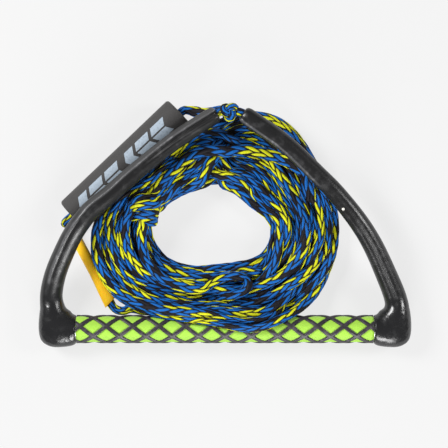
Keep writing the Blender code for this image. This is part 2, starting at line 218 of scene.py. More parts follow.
SNUG = 0.03
DRAWN_FLAT = 0.30
PASS_FLAT = 0.42
LOOP_FLAT = 0.16
COIL_FLAT = (0.10, 0.24)
FELT_WITHIN = 1.35
OWN_WEIGHT = 0.25
EVENED_STEPS = 15


def smooth_through(points, steps):
    """Points on a smooth curve through the given ones, with equal steps between each two."""
    points = np.asarray(points, float)
    ends = np.vstack([2 * points[0] - points[1], points, 2 * points[-1] - points[-2]])
    path = []
    for before, start, end, after in zip(ends, ends[1:], ends[2:], ends[3:]):
        for t in np.arange(steps) / steps:
            path.append(
                (2 * t**3 - 3 * t**2 + 1) * start
                + (t**3 - 2 * t**2 + t) * (end - before) / 2
                + (3 * t**2 - 2 * t**3) * end
                + (t**3 - t**2) * (after - start) / 2
            )
    path.append(points[-1])
    return np.array(path)


def spoke_table():
    """The coil's inner and outer radius, middle height, half thickness and lift at each step of a turn."""
    count = len(COIL_SPOKES)
    looped = smooth_through(np.vstack([COIL_SPOKES[-2:], COIL_SPOKES, COIL_SPOKES[:3]]), STEPS_PER_SPOKE)
    whole = looped[2 * STEPS_PER_SPOKE:(count + 2) * STEPS_PER_SPOKE]
    angles = (COIL_START + 2 * math.pi * np.arange(STEPS_PER_TURN) / STEPS_PER_TURN) % (2 * math.pi)
    places = np.round(angles / (2 * math.pi) * len(whole)).astype(int) % len(whole)
    return angles, whole[places].T


def eased(angle, span):
    """From 0 to 1 over a span of degrees."""
    t = np.clip((angle - span[0]) / (span[1] - span[0]), 0, 1)
    return t * t * (3 - 2 * t)


def wound_targets(random):
    """Where each turn would like to lie: it keeps a slot in the bundle, and changes it twice a turn."""
    count = TURNS + 2
    across = (np.arange(count) + 0.5) / count
    upper = np.stack([across[random.permutation(count)], random.random(count)], 1)
    moved = upper[:, 0] + random.normal(0, SLOT_CHANGE, count)
    ranked = np.empty(count)
    ranked[np.argsort(moved)] = across
    lower = np.stack([ranked, random.random(count)], 1)
    degrees = 360 * np.arange(STEPS_PER_TURN) / STEPS_PER_TURN
    first = eased(degrees, FIRST_CROSSING)[None, :, None]
    second = eased(degrees, SECOND_CROSSING)[None, :, None]
    here, there = upper[: TURNS + 1, None], lower[: TURNS + 1, None]
    after = upper[1:, None]
    return (here * (1 - first) + there * first) * (1 - second) + after * second


def last_pass(angles, table):
    """The steps of a turn that a list of (degrees, radius) covers, with the radius at each."""
    marks = np.array(table, float)
    degrees = np.degrees(angles)
    covered = np.flatnonzero((degrees >= marks[0, 0]) & (degrees <= marks[-1, 0]))
    return [(step, float(np.interp(degrees[step], *marks.T))) for step in covered]


def neighbours(angles):
    """How far the float's near side and the sleeve's middle lie from the coil's centre, each way."""
    float_way = np.array([-FLOAT_HEADING.y, FLOAT_HEADING.x])
    to_float = (np.array(FLOAT_START)[:2] - COIL_CENTRE[:2]) @ float_way
    float_angle = math.atan2(*(float_way[::-1] * np.sign(to_float)))
    leaning = np.cos(angles - float_angle)
    room = (abs(to_float) - FLOAT_CLEARANCE) / np.maximum(leaning, 0.6)
    beside_float = np.where(leaning > 0.6, room, OUT_OF_REACH)
    start = np.array(SLEEVE_START)[:2] - COIL_CENTRE[:2]
    heading = np.array(SLEEVE_HEADING)[:2]
    turned = heading[1] * np.cos(angles) - heading[0] * np.sin(angles)
    aslant = np.where(np.abs(turned) > 0.2, turned, 1.0)
    reach = (start[0] * heading[1] - start[1] * heading[0]) / aslant
    spots = np.stack([np.cos(angles), np.sin(angles)], 1) * reach[:, None]
    passed = (spots - start) @ heading
    meets = (reach > 0) & (passed > -LINE_DIAMETER / 2) & (passed < SLEEVE_LENGTH + LINE_DIAMETER / 2)
    return beside_float, np.where(meets, reach, OUT_OF_REACH)


def settle_coil():
    """Lets the turns sink, press apart and lie against the floor, the bar and the arms above."""
    random = np.random.default_rng(11)
    angles, (inside, outside, middle, half, lift) = spoke_table()
    beside_float, sleeve_reach = neighbours(angles)
    outside = np.minimum(outside, beside_float)
    target = wound_targets(random)
    reach_mid = (inside + outside) / 2
    reach_half = (outside - inside) / 2 - SIDE_ROOM
    u = 2 * target[:, :, 0] - 1
    w = 2 * target[:, :, 1] - 1
    radius = reach_mid + u * reach_half
    height = middle + lift * u + w * (half - TOP_ROOM)
    want = radius.copy()
    active = np.ones(radius.shape, bool)
    active[TURNS, LAST_STEPS:] = False
    tie = np.arange(TIE_STEP, TIE_STEP + TIE_STEPS)
    tie_middle = LINE_DIAMETER / 2 + TIE_HALF[1]
    order = np.argsort(want[: TURNS - 1, TIE_STEP + 2])
    tied = np.zeros(TURNS + 1, bool)
    tied[order[:TIED_TURNS]] = True
    under_arm = np.sin(angles) > -0.1
    ceiling = np.where(under_arm, UNDER_ARMS - LINE_DIAMETER / 2, OPEN_CEILING)
    pins = {(0, step): place for step, place in enumerate(COIL_ENTRY)}
    for turn, table in ((TURNS - 1, TIE_APPROACH), (TURNS - 1, TIE_EXIT), (TURNS, TIE_EXIT)):
        for step, r in last_pass(angles, table):
            u = (r - reach_mid[step]) / reach_half[step]
            top = middle[step] + lift[step] * u + half[step] * math.sqrt(max(0.15, 1 - u * u))
            before_tie = step < TIE_STEP
            if (table is TIE_APPROACH) == before_tie or turn == TURNS:
                pins[(turn, step)] = (r, min(top, ceiling[step]))
    for step in range(TIE_STEP - 1, TIE_STEP + TIE_STEPS + 1):
        pins[(TURNS - 1, step)] = (TIE_RADIUS, tie_middle + TIE_HALF[1])
    bar_reach = (COIL_CENTRE[1] - BAR_MIDDLE[0]) / np.maximum(-np.sin(angles), 0.2)
    crosses_bar = -np.sin(angles) > 0.5
    bar_wide = (BAR_RADIUS + LINE_DIAMETER / 2) / np.maximum(-np.sin(angles), 0.2)
    bar_tall = BAR_RADIUS + LINE_DIAMETER / 2
    for round_number in range(SETTLING_ROUNDS):
        early = max(0.0, 1 - round_number / (EARLY_SHARE * SETTLING_ROUNDS))
        radius += HOMING * early * (want - radius)
        height -= SINK * (0.4 + 0.6 * early)
        strayed = radius - want
        for field in (strayed, height):
            line = field.reshape(-1)
            line[1:-1] += STRAIGHTENING * ((line[:-2] + line[2:]) / 2 - line[1:-1])
        radius = want + strayed
        for _ in range(PRESSING_ROUNDS):
            gap_r = radius[:, None] - radius[None]
            gap_z = height[:, None] - height[None]
            apart = np.hypot(gap_r, gap_z) + 1e-9
            press = np.clip(PRESSED_SPACING - apart, 0, None) * (active[:, None] & active[None])
            np.einsum("iij->ij", press)[:] = 0
            radius += PRESSING * (press * gap_r / apart).sum(1)
            height += PRESSING * (press * gap_z / apart).sum(1)
            u = (radius - reach_mid) / reach_half
            past = np.clip(np.abs(u) - 1, 0, None) * np.sign(u) * reach_half
            radius -= RETURNING * past
            in_r = (radius - bar_reach) / bar_wide
            in_z = (height - BAR_MIDDLE[1]) / bar_tall
            depth = np.hypot(in_r, in_z)
            inside_bar = (depth < 1) & crosses_bar
            push = np.where(inside_bar, 1 / np.maximum(depth, 0.2), 1.0)
            radius = np.where(inside_bar, bar_reach + (radius - bar_reach) * push, radius)
            height = np.where(inside_bar, BAR_MIDDLE[1] + (height - BAR_MIDDLE[1]) * push, height)
            off_r = radius - sleeve_reach
            off_z = height - SLEEVE_START.z
            clear = (SLEEVE_OUTER + LINE_DIAMETER) / 2 / np.maximum(np.hypot(off_r, off_z), 0.003)
            radius = np.where(clear > 1, sleeve_reach + off_r * clear, radius)
            height = np.where(clear > 1, SLEEVE_START.z + off_z * clear, height)
            height = np.clip(height, LOWEST_MIDDLE, ceiling)
        rel_r = (radius[:, tie] - TIE_RADIUS) / TIE_HALF[0]
        rel_z = (height[:, tie] - tie_middle) / TIE_HALF[1]
        far = np.hypot(rel_r, rel_z) + 1e-9
        room = np.where(tied[:, None], TIED_WITHIN, UNTIED_BEYOND)
        wrong = np.where(tied[:, None], far > room, far < room)
        fix = np.where(wrong, room / far, 1.0)
        radius[:, tie] = TIE_RADIUS + (radius[:, tie] - TIE_RADIUS) * fix
        height[:, tie] = np.maximum(tie_middle + (height[:, tie] - tie_middle) * fix, LOWEST_MIDDLE)
        for (turn, step), (r, z) in pins.items():
            radius[turn, step] = r
            height[turn, step] = z
    rest_on_top(radius, height, active, ceiling, [key for key in pins if key[0] >= TURNS - 1])
    return angles, radius, height, active


def rest_on_top(radius, height, active, ceiling, spots):
    """Lays the last pass down on the turns beneath it, except where it makes the tie."""
    free = [
        (turn, step) for turn, step in spots
        if turn == TURNS or not TIE_STEP - 1 <= step <= TIE_STEP + TIE_STEPS
    ]
    for turn, step in free:
        under = active[:, step] & (np.arange(TURNS + 1) < TURNS - 1)
        gap = np.clip(np.abs(radius[under, step] - radius[turn, step]) / PRESSED_SPACING, 0, 1)
        rests = height[under, step] + PRESSED_SPACING * np.sqrt(1 - gap**2)
        height[turn, step] = min(rests[gap < 1].max(), ceiling[step])
    for _ in range(LAYING_ROUNDS):
        for turn, step in free[1:-1]:
            line = height.reshape(-1)
            k = turn * STEPS_PER_TURN + step
            line[k] = max(line[k], (line[k - 1] + line[k + 1]) / 2 - LAYING_SAG)


def squeeze_directions(radius, height, active):
    """The way each stretch of the line is squeezed by its neighbours, as a doubled-angle vector."""
    gap_r = radius[:, None] - radius[None]
    gap_z = height[:, None] - height[None]
    apart = np.hypot(gap_r, gap_z) + 1e-9
    weight = np.clip(FELT_WITHIN * PRESSED_SPACING - apart, 0, None) / PRESSED_SPACING
    weight = weight * (active[:, None] & active[None])
    np.einsum("iij->ij", weight)[:] = 0
    even = (weight * (gap_r**2 - gap_z**2) / apart**2).sum(1)
    odd = (weight * 2 * gap_r * gap_z / apart**2).sum(1)
    even -= OWN_WEIGHT
    window = np.hanning(EVENED_STEPS) / np.hanning(EVENED_STEPS).sum()
    even = np.convolve(even.reshape(-1), window, mode="same").reshape(radius.shape)
    odd = np.convolve(odd.reshape(-1), window, mode="same").reshape(radius.shape)
    return even, odd


def route_of_line():
    """The whole line as points, with the direction and amount that each stretch is flattened."""
    lead = [*KNOT_TO_FLOAT]
    lead += [FLOAT_START + FLOAT_LENGTH * share * FLOAT_HEADING for share in (0, 0.25, 0.5, 0.75, 1)]
    lead += [*FLOAT_TO_SLEEVE]
    lead += [SLEEVE_START + SLEEVE_LENGTH * share * SLEEVE_HEADING for share in (0, 0.2, 0.6, 1)]
    lead += [*SLEEVE_TO_COIL[:-1]]
    points = [np.array(point) for point in lead]
    up = np.array([0.0, 0.0, 1.0])
    squeeze = [up] * len(points)
    flat = [SNUG] * len(points)
    flat[1:len(KNOT_TO_FLOAT) - 1] = [DRAWN_FLAT] * (len(KNOT_TO_FLOAT) - 2)
    angles, radius, height, active = settle_coil()
    even, odd = squeeze_directions(radius, height, active)
    spokes = np.stack([np.cos(angles), np.sin(angles), 0 * angles], 1)
    tops = []
    last = TURNS * STEPS_PER_TURN + LAST_STEPS
    for k in range(last):
        turn, step = divmod(k, STEPS_PER_TURN)
        place = COIL_CENTRE + spokes[step] * radius[turn, step] + up * height[turn, step]
        tops.append(place)
        if turn == TURNS - 1 and TIE_STEP <= step < TIE_STEP + TIE_STEPS:
            if step == TIE_STEP:
                for share in np.linspace(0, 1, TIE_WRAPS * 16 + 1):
                    swing = math.pi / 2 - 2 * math.pi * TIE_WRAPS * share
                    along = (TIE_STEP - 0.2 + (TIE_STEPS - 0.6) * share) / STEPS_PER_TURN
                    angle = COIL_START + 2 * math.pi * along
                    spoke = np.array([math.cos(angle), math.sin(angle), 0.0])
                    middle = COIL_CENTRE + spoke * TIE_RADIUS + up * (LINE_DIAMETER / 2 + TIE_HALF[1])
                    points.append(
                        middle + spoke * TIE_HALF[0] * math.cos(swing) + up * TIE_HALF[1] * math.sin(swing)
                    )
                    squeeze.append(spoke * math.cos(swing) + up * math.sin(swing))
                    flat.append(DRAWN_FLAT)
            continue
        points.append(place)
        if turn == TURNS - 1 and angles[step] < math.radians(180):
            squeeze.append(up)
            flat.append(PASS_FLAT)
            continue
        bend = math.atan2(odd[turn, step], even[turn, step]) / 2
        strength = min(1.0, math.hypot(odd[turn, step], even[turn, step]) / 0.5)
        squeeze.append(spokes[step] * math.cos(bend) + up * math.sin(bend))
        flat.append(COIL_FLAT[0] + COIL_FLAT[1] * strength)
    tops = np.array(tops)
    for number, (x, y) in enumerate(END_LOOP):
        near = np.hypot(tops[:, 0] - x, tops[:, 1] - y) < 0.0065
        z = tops[near, 2].max() + LOOP_REST if near.any() else points[-1][2]
        sunk = eased(number, (len(END_LOOP) - 4, len(END_LOOP) - 1)) * TUCK_DEPTH
        points.append(np.array([x, y, z - sunk]))
        squeeze.append(up)
        flat.append(LOOP_FLAT)
    return np.array(points), np.array(squeeze), np.array(flat)


def even_steps(points, squeeze, flat, step):
    """The same line with points the given distance apart."""
    for i in range(1, len(squeeze)):
        if squeeze[i] @ squeeze[i - 1] < 0:
            squeeze[i] *= -1
    fine = smooth_through(np.hstack([points, squeeze, flat[:, None]]), 6)
    along = np.r_[0, np.cumsum(np.linalg.norm(np.diff(fine[:, :3], axis=0), axis=1))]
    stations = np.arange(0, along[-1], step)
    columns = [np.interp(stations, along, column) for column in fine.T]
    even = np.stack(columns, 1)
    return even[:, :3], even[:, 3:6], even[:, 6]


def braided_tube(name, path, squeeze, flat, diameter):
    """Skins a braid over a path: each ring's points stand proud at the yarns and dip between them."""
    tangent = np.gradient(path, axis=0)
    tangent /= np.linalg.norm(tangent, axis=1, keepdims=True)
    short = squeeze - (squeeze * tangent).sum(1, keepdims=True) * tangent
    short /= np.linalg.norm(short, axis=1, keepdims=True)
    wide = np.cross(tangent, short)
    count = len(path)
    turns_of_lead = np.arange(count) / RINGS_PER_LEAD
    slow = turns_of_lead * BRAID_LEAD
    first, second = [turn * np.sin(slow * rate + start) for turn, rate, start in SLOW_TWISTS]
    twist = first + second
    around = np.arange(SIDES) / SIDES
    a = CARRIERS * (around[None] + turns_of_lead[:, None])
    b = CARRIERS * (around[None] - turns_of_lead[:, None])
    float_place = (np.floor(a) + np.floor(b)) % 4
    a_over = float_place < 2
    across = np.abs(np.sin(math.pi * np.where(a_over, a, b)))
    along = np.abs(np.sin(math.pi * (float_place % 2 + np.where(a_over, b, a) % 1) / 2))
    lift = YARN_HEIGHT * (across ** 0.6 * along ** 0.4 - YARN_CREST)
    swing = 2 * math.pi * around[None] + twist[:, None]
    half = diameter / 2
    half_wide = half * (1 + flat)[:, None] + lift
    half_short = half * (1 - flat)[:, None] + lift
    rings = (
        path[:, None]
        + wide[:, None] * (half_wide * np.cos(swing))[:, :, None]
        + short[:, None] * (half_short * np.sin(swing))[:, :, None]
    )
    tips = path[[0, -1]] + tangent[[0, -1]] * [[-TIP], [TIP]]
    points = np.vstack([rings.reshape(-1, 3), tips])
    ring = np.arange(count - 1)[:, None] * SIDES
    i = np.arange(SIDES)[None]
    j = (i + 1) % SIDES
    quads = np.stack([ring + i, ring + SIDES + i, ring + SIDES + j, ring + j], 2).reshape(-1, 4)
    ends = [(len(points) - 2, i0, (i0 + 1) % SIDES) for i0 in range(SIDES)]
    base = (count - 1) * SIDES
    ends += [(len(points) - 1, base + (i0 + 1) % SIDES, base + i0) for i0 in range(SIDES)]
    mesh = bpy.data.meshes.new(name)
    mesh.from_pydata(points.tolist(), [], quads.tolist() + ends)
    chart = mesh.uv_layers.new(name="braid")
    along = np.repeat(turns_of_lead[:-1], SIDES)
    nxt = np.repeat(turns_of_lead[1:], SIDES)
    low = np.tile(np.arange(SIDES) / SIDES, count - 1)
    high = low + 1 / SIDES
    corners = [(along, low), (nxt, low), (nxt, high), (along, high)]
    uv = np.stack([np.stack(corner, 1) for corner in corners], 1).reshape(-1, 2)
    cap = np.tile([[0.0, 0.5]], (len(ends) * 3, 1))
    chart.data.foreach_set("uv", np.vstack([uv, cap]).astype(np.float32).reshape(-1))
    mesh.shade_smooth()
    mesh.update()
    item = bpy.data.objects.new(name, mesh)
    bpy.context.scene.collection.objects.link(item)
    return item


class Value:
    """A shader value that takes part in arithmetic; each operation adds its Math node."""

    def __init__(self, finish, socket):
        self.finish = finish
        self.socket = socket

    def math(self, operation, *values):
        node = self.finish.add("ShaderNodeMath", {"operation": operation}, dict(enumerate(values)))
        return Value(self.finish, node.outputs[0])

    def __add__(self, other):
        return self.math("ADD", self, other)

    def __radd__(self, other):
        return self.math("ADD", other, self)

    def __sub__(self, other):
        return self.math("SUBTRACT", self, other)

    def __rsub__(self, other):
        return self.math("SUBTRACT", other, self)

    def __mul__(self, other):
        return self.math("MULTIPLY", self, other)

    def __rmul__(self, other):
        return self.math("MULTIPLY", other, self)

    def __truediv__(self, other):
        return self.math("DIVIDE", self, other)

    def __pow__(self, other):
        return self.math("POWER", self, other)

    def __mod__(self, other):
        return self.math("FLOORED_MODULO", self, other)

    def __lt__(self, other):
        return self.math("LESS_THAN", self, other)

    def __gt__(self, other):
        return self.math("GREATER_THAN", self, other)

    def __abs__(self):
        return self.math("ABSOLUTE", self)


class Finish:
    """A material under construction round one Principled shader."""

    def __init__(self, name, **constants):
        self.material = bpy.data.materials.new(name)
        self.material.use_nodes = True
        self.tree = self.material.node_tree
        self.shader = self.tree.nodes["Principled BSDF"]
        self.set(**constants)

    def add(self, kind, settings=None, values=None):
        """Adds a node: its settings first, then the values or links of its sockets."""
        node = self.tree.nodes.new(kind)
        for name, value in (settings or {}).items():
            setattr(node, name, value)
        for key, value in (values or {}).items():
            self.feed(node.inputs[key], value)
        return node

    def feed(self, socket, value):
        if isinstance(value, Value):
            value = value.socket
        if isinstance(value, bpy.types.NodeSocket):
            self.tree.links.new(value, socket)
        else:
            socket.default_value = value

    def set(self, **values):
        for name, value in values.items():
            self.feed(self.shader.inputs[name.replace("_", " ")], value)

    def blend(self, share, first, second):
        """The first colour where share is 0, the second where it is 1."""
        node = self.add("ShaderNodeMix", {"data_type": "RGBA"}, {0: share, 6: first, 7: second})
        return node.outputs[2]

    def places(self):
        return self.add("ShaderNodeTexCoord").outputs["Object"]

    def split(self, vector):
        node = self.add("ShaderNodeSeparateXYZ", None, {0: vector})
        return [Value(self, socket) for socket in node.outputs]

    def join(self, x, y, z=0.0):
        return self.add("ShaderNodeCombineXYZ", None, {0: x, 1: y, 2: z}).outputs[0]

    def measured(self, vector, heading):
        """How far a place lies along a heading."""
        node = self.add("ShaderNodeVectorMath", {"operation": "DOT_PRODUCT"}, {0: vector, 1: heading})
        return Value(self, node.outputs["Value"])

    def noise(self, vector, scale, detail=2.0):
        values = {"Vector": vector, "Scale": scale, "Detail": detail}
        return Value(self, self.add("ShaderNodeTexNoise", None, values).outputs[0])

    def ramp(self, share, low, high):
        """From 0 at low to 1 at high."""
        values = {"Value": share, "From Min": low, "From Max": high}
        node = self.add("ShaderNodeMapRange", {"interpolation_type": "SMOOTHSTEP"}, values)
        return Value(self, node.outputs[0])

    def bump(self, height, distance):
        node = self.add("ShaderNodeBump", None, {"Height": height, "Distance": distance})
        self.set(Normal=node.outputs[0])


LINE_BLUE = (0.004, 0.120, 0.450, 1.0)
LINE_BLACK = (0.009, 0.007, 0.011, 1.0)
LINE_YELLOW = (0.66, 0.68, 0.012, 1.0)
# Dark colour painted as shade into the valleys between the yarns.
PAINTED_SHADE_BETWEEN_YARNS = (0.004, 0.004, 0.005, 1.0)
YELLOW_CARRIERS = 2
BLACK_CARRIERS = ((3, 6), (5,))


def carrier_colour(finish, carrier, black_carriers):
    """Two carriers side by side are yellow, one or two of the others black and the rest blue."""
    black = sum(abs(carrier - number) < 0.5 for number in black_carriers)
    yellow = carrier < YELLOW_CARRIERS - 0.5
    return finish.blend(yellow, finish.blend(black, LINE_BLUE, LINE_BLACK), LINE_YELLOW)


def braid_finish(name):
    """Eight carriers wind each way, over two and under two, with painted shade in the valleys between
    their yarns.
    """
    finish = Finish(name)
    chart = finish.add("ShaderNodeUVMap", {"uv_map": "braid"}).outputs[0]
    along, around, _ = finish.split(chart)
    a = (around + along) * CARRIERS
    b = (around - along) * CARRIERS
    a_cell = a.math("FLOOR", a)
    b_cell = b.math("FLOOR", b)
    a_part = a - a_cell
    b_part = b - b_cell
    place = (a_cell + b_cell) % 4.0
    a_over = place < 1.5
    a_colour = carrier_colour(finish, a_cell % CARRIERS, BLACK_CARRIERS[0])
    b_colour = carrier_colour(finish, b_cell % CARRIERS, BLACK_CARRIERS[1])
    colour = finish.blend(a_over, b_colour, a_colour)
    half_place = place % 2.0
    a_across = a.math("SINE", a_part * math.pi)
    b_across = a.math("SINE", b_part * math.pi)
    a_along = a.math("SINE", (half_place + b_part) * (math.pi / 2))
    b_along = a.math("SINE", (half_place + a_part) * (math.pi / 2))
    a_crown = (a_across ** 0.7) * (a_along ** 0.5)
    b_crown = (b_across ** 0.7) * (b_along ** 0.5)
    crown = a_over * a_crown + (1 - a_over) * b_crown
    a_threads = finish.noise(finish.join(a * 7.0, b * 1.2), 1.0, 2.0)
    b_threads = finish.noise(finish.join(a * 1.2, b * 7.0, 9.0), 1.0, 2.0)
    threads = a_over * a_threads + (1 - a_over) * b_threads
    # Towards the valleys between the yarn crowns the colour goes to the painted shade.
    shade = finish.ramp(crown + 0.5 * threads, 0.50, 0.98) * (0.35 + 1.1 * threads)
    finish.set(
        Base_Color=finish.blend(shade.math("MINIMUM", shade, 1.0), PAINTED_SHADE_BETWEEN_YARNS, colour),
        Roughness=0.46 + 0.3 * threads,
        Specular_IOR_Level=0.18,
    )
    finish.bump(crown + 0.15 * threads, 0.0009)
    return finish.material


line_path, line_squeeze, line_flat = even_steps(*route_of_line(), BRAID_LEAD / RINGS_PER_LEAD)
tow_line = braided_tube("tow_line_braid", line_path, line_squeeze, line_flat, LINE_DIAMETER)
line_braid = braid_finish("line_braid")
tow_line.data.materials.append(line_braid)
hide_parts("tow_line", "rope_coil")
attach(tow_line, "handle")


# ---------------------------------------------------------------------------
# The bar: a drawn aluminium tube with a flared nylon bush pressed into each
# end. Both keep the shape they are turned to; grip and elbows cover them.
# ---------------------------------------------------------------------------
ALUMINIUM = ((0.42, 0.43, 0.45, 1.0), (0.66, 0.67, 0.69, 1.0))
NYLON = ((0.66, 0.64, 0.58, 1.0), (0.80, 0.79, 0.74, 1.0))


def drawn_tube_finish():
    """Anodised aluminium with fine lines along its length."""
    finish = Finish("drawn_aluminium", Metallic=1.0)
    x, y, z = finish.split(finish.places())
    lines = finish.noise(finish.join(x * 20.0, y * 900.0, z * 900.0), 1.0)
    finish.set(
        Base_Color=finish.blend(lines, *ALUMINIUM),
        Roughness=0.28 + 0.2 * lines,
    )
    finish.bump(lines, 0.00005)
    return finish.material


def nylon_finish():
    """Natural white nylon, a little mottled from the mould."""
    finish = Finish("natural_nylon")
    mottle = finish.noise(finish.places(), 260.0)
    finish.set(
        Base_Color=finish.blend(mottle, *NYLON),
        Roughness=0.4 + 0.2 * mottle,
    )
    finish.bump(mottle, 0.0001)
    return finish.material


def refinish(node, material):
    item = bpy.data.objects[node]
    item.data.materials.clear()
    item.data.materials.append(material)


refinish("bar_tube", drawn_tube_finish())
nylon = nylon_finish()
for node in ("tube_bush_left", "tube_bush_right"):
    refinish(node, nylon)


# ---------------------------------------------------------------------------
# The grip: a sleeve of soft lime foam glued to the tube, and over it a net of
# black rubber ribs that cross in diamonds. The foam swells up a little
# between the ribs.
# ---------------------------------------------------------------------------
BAR_Y = -0.1046
BAR_Z = 0.0155
GRIP_RADIUS = 0.0131
GRIP_WALL = 0.0017
GRIP_SIDES = 96
GRIP_CUTS = 220
SWELL = 0.0007
SWELL_REACH = 0.007
UNDER_RIBS = 0.0003
DIAMOND_LENGTH = 0.027
DIAMONDS_AROUND = 4
RIB_FOOT = 0.0136
RIB_CROWN = 0.0008
RIB_HALF_WIDTH = 0.0021
RIB_TURN = math.radians(28.5)
LIME = ((0.22, 0.47, 0.020, 1.0), (0.37, 0.66, 0.050, 1.0))
LIME_WORN = (0.38, 0.66, 0.080, 1.0)
RIB_BLACK = ((0.020, 0.017, 0.022, 1.0), (0.060, 0.050, 0.062, 1.0))


def deselect():
    for item in bpy.context.selected_objects:
        item.select_set(False)


def use(item):
    deselect()
    item.select_set(True)
    bpy.context.view_layer.objects.active = item


def copy_of(node, name):
    """A copy of a solid's shape, its loose triangles joined."""
    use(bpy.data.objects[node])
    bpy.ops.object.duplicate()
    piece = bpy.context.object
    piece.name = name
    piece.data.name = name
    piece.data.materials.clear()
    piece.hide_render = False
    bpy.ops.object.mode_set(mode="EDIT")
    bpy.ops.mesh.select_all(action="SELECT")
    bpy.ops.mesh.remove_doubles(threshold=0.000005)
    bpy.ops.object.mode_set(mode="OBJECT")
    return piece


def apply_modifier(piece, kind, **settings):
    use(piece)
    made = piece.modifiers.new(kind.lower(), kind)
    for name, value in settings.items():
        setattr(made, name, value)
    bpy.ops.object.modifier_apply(modifier=made.name)


def points_of(piece):
    points = np.empty(len(piece.data.vertices) * 3)
    piece.data.vertices.foreach_get("co", points)
    return points.reshape(-1, 3)


def move_points(piece, points):
    piece.data.vertices.foreach_set("co", points.reshape(-1))
    piece.data.update()


def finish_piece(piece, material, body, slot, *nodes):
    piece.data.materials.clear()
    piece.data.materials.append(material)
    use(piece)
    bpy.ops.object.shade_smooth()
    if nodes:
        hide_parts(*nodes)
    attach(piece, body)


def rib_distance(x, turn):
    """How far a point of the grip lies from the nearest rib's middle line."""
    p = DIAMONDS_AROUND * (turn - RIB_TURN) / (2 * math.pi) + x / DIAMOND_LENGTH
    q = DIAMONDS_AROUND * (turn - RIB_TURN) / (2 * math.pi) - x / DIAMOND_LENGTH
    around = 2 * math.pi * GRIP_RADIUS / DIAMONDS_AROUND
    spacing = DIAMOND_LENGTH * around / math.hypot(DIAMOND_LENGTH, around)
    nearest = np.minimum(np.abs(p - np.round(p)), np.abs(q - np.round(q)))
    return nearest * spacing


def polar(points):
    y = points[:, 1] - BAR_Y
    z = points[:, 2] - BAR_Z
    return points[:, 0], np.hypot(y, z), np.arctan2(z, y)


def from_polar(x, radius, turn):
    return np.stack([x, BAR_Y + radius * np.cos(turn), BAR_Z + radius * np.sin(turn)], 1)


def make_foam():
    low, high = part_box("grip_sleeve")
    deselect()
    bpy.ops.mesh.primitive_cylinder_add(
        vertices=GRIP_SIDES, radius=GRIP_RADIUS, depth=high[0] - low[0], end_fill_type="NOTHING",
        location=((low[0] + high[0]) / 2, BAR_Y, BAR_Z), rotation=(0, math.pi / 2, 0),
    )
    foam = bpy.context.object
    foam.name = "grip_foam"
    bpy.ops.object.transform_apply(location=True, rotation=True, scale=True)
    bpy.ops.object.mode_set(mode="EDIT")
    bpy.ops.mesh.select_all(action="DESELECT")
    shape = bmesh.from_edit_mesh(foam.data)
    for edge in shape.edges:
        edge.select = abs(edge.verts[0].co.x - edge.verts[1].co.x) > 0.01
    bmesh.update_edit_mesh(foam.data)
    bpy.ops.mesh.subdivide(number_cuts=GRIP_CUTS)
    bpy.ops.object.mode_set(mode="OBJECT")
    apply_modifier(foam, "SOLIDIFY", thickness=GRIP_WALL, offset=-1.0)
    x, radius, turn = polar(points_of(foam))
    distance = rib_distance(x, turn)
    outside = radius > GRIP_RADIUS - GRIP_WALL / 2
    swell = SWELL * np.clip(distance / SWELL_REACH, 0, 1) ** 0.6 - UNDER_RIBS
    move_points(foam, from_polar(x, radius + outside * swell, turn))
    return foam


def make_ribs():
    ribs = copy_of("grip_lattice", "grip_ribs")
    bpy.ops.object.mode_set(mode="EDIT")
    bpy.ops.mesh.select_all(action="SELECT")
    bpy.ops.mesh.subdivide(number_cuts=3)
    bpy.ops.object.mode_set(mode="OBJECT")
    x, radius, turn = polar(points_of(ribs))
    turn += RIB_TURN
    outside = radius > RIB_FOOT + 0.0001
    share = np.clip(rib_distance(x, turn) / RIB_HALF_WIDTH, 0, 1)
    crown = RIB_FOOT + 0.0002 + RIB_CROWN * np.sqrt(1 - 0.96 * share**2)
    move_points(ribs, from_polar(x, np.where(outside, crown, GRIP_RADIUS - 0.0001), turn))
    return ribs


def foam_finish():
    """Closed-cell foam: a fine matt grain, a few larger cells and paler worn patches."""
    finish = Finish("lime_foam", Sheen_Weight=0.15)
    places = finish.places()
    grain = finish.noise(places, 2600.0, 3.0)
    cells = finish.noise(places, 900.0)
    patches = finish.noise(places, 45.0)
    colour = finish.blend(grain, *LIME)
    wear_and_ridge_highlight = finish.blend(0.5 * patches, colour, LIME_WORN)
    finish.set(Base_Color=wear_and_ridge_highlight, Roughness=0.62 + 0.2 * grain)
    finish.bump(0.7 * grain + 0.5 * cells, 0.00022)
    return finish.material


def rib_finish():
    """Black rubber with a slight violet cast and a scuffed crown."""
    finish = Finish("rib_rubber")
    places = finish.places()
    grain = finish.noise(places, 1500.0)
    scuffs = finish.ramp(finish.noise(places, 160.0, 4.0), 0.50, 0.75)
    finish.set(
        Base_Color=finish.blend(scuffs, *RIB_BLACK),
        Roughness=0.34 + 0.25 * grain + 0.15 * scuffs,
    )
    finish.bump(grain, 0.0001)
    return finish.material


finish_piece(make_foam(), foam_finish(), "handle", "grip", "grip_sleeve")
finish_piece(make_ribs(), rib_finish(), "handle", "ribs", "grip_lattice")


